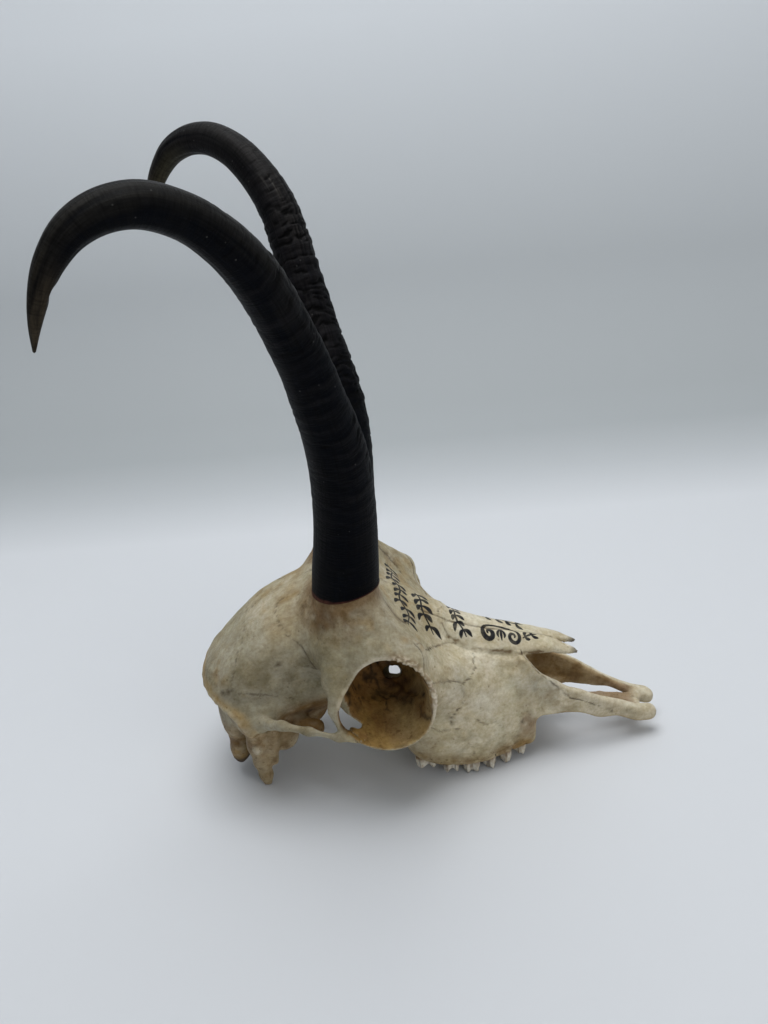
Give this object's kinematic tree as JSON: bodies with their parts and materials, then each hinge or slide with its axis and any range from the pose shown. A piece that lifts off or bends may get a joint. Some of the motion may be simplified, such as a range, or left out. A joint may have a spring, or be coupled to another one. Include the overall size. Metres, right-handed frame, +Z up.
{
  "type": "chamois skull with horns",
  "caption": "Cleaned chamois skull without lower jaw, with a pair of upright black hooked horns, standing on its cheek teeth.",
  "frame": {"origin": "middle of the bounding box, at the height of the surface that the skull stands on", "axes": "+X towards the nose, +Y the animal's left side, +Z up"},
  "size_m": [0.2201, 0.202, 0.276],
  "materials": {
    "bone": "dry cleaned bone, cream with ochre and brown stains, matte",
    "horn": "black horn sheath, ringed, satin",
    "tooth": "worn tooth, off-white, slightly glossy"
  },
  "bodies": {
    "root": {"skull": "bone", "horn_right": "horn", "horn_left": "horn", "tooth_p2_right": "tooth", "tooth_p3_right": "tooth", "tooth_p4_right": "tooth", "tooth_m1_right": "tooth", "tooth_m2_right": "tooth", "tooth_m3_right": "tooth", "tooth_p2_left": "tooth", "tooth_p3_left": "tooth", "tooth_p4_left": "tooth", "tooth_m1_left": "tooth", "tooth_m2_left": "tooth", "tooth_m3_left": "tooth"}
  },
  "joints": []
}
